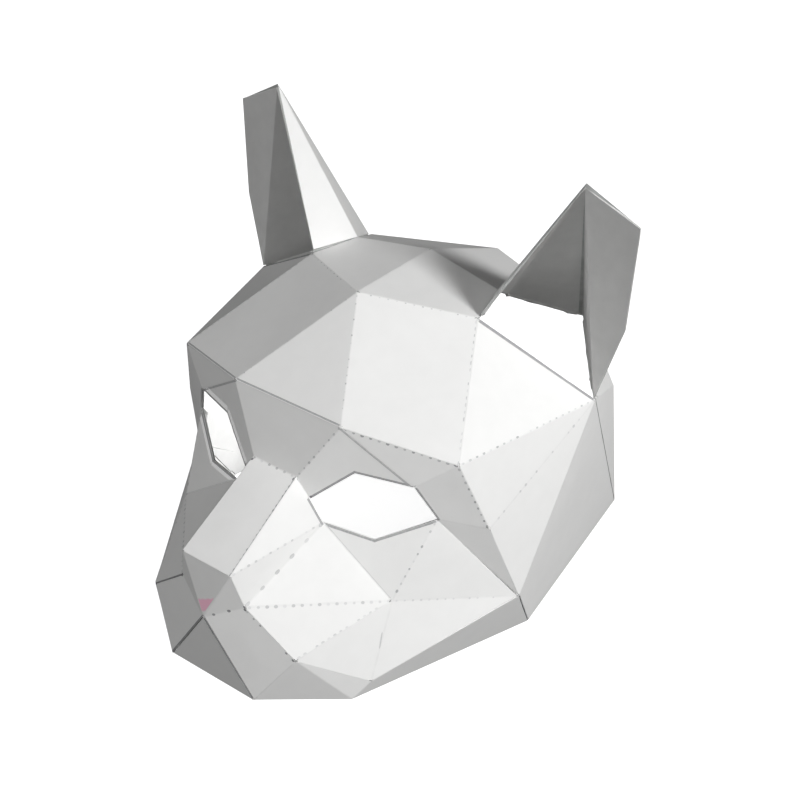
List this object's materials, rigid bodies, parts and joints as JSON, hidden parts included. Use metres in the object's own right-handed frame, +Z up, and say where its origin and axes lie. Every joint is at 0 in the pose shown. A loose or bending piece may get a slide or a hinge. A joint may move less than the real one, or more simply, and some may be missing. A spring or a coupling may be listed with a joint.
{
  "type": "paper animal mask",
  "caption": "Faceted animal head mask folded and glued from white card, with open eye holes, upright ears over open bases, a blunt snout and an open back and underside for the wearer's head.",
  "frame": {"origin": "middle of the mask's bounding box in plan, on the surface that the lower rim rests on", "axes": "+Z up, -Y where the snout points, +X to the wearer's left"},
  "size_m": [0.1918, 0.1974, 0.1853],
  "materials": {
    "white_card": "matte, smooth white card with dotted fold marks"
  },
  "bodies": {
    "root": {"forehead": "white_card", "bridge": "white_card", "nose": "white_card", "chin": "white_card", "crown_left": "white_card", "crown_right": "white_card", "temple_left": "white_card", "temple_right": "white_card", "rear_side_left": "white_card", "rear_side_right": "white_card", "brow_left": "white_card", "brow_right": "white_card", "muzzle_left": "white_card", "muzzle_right": "white_card", "cheek_left": "white_card", "cheek_right": "white_card", "jaw_left": "white_card", "jaw_right": "white_card", "ear_left": "white_card", "ear_right": "white_card"}
  },
  "joints": []
}
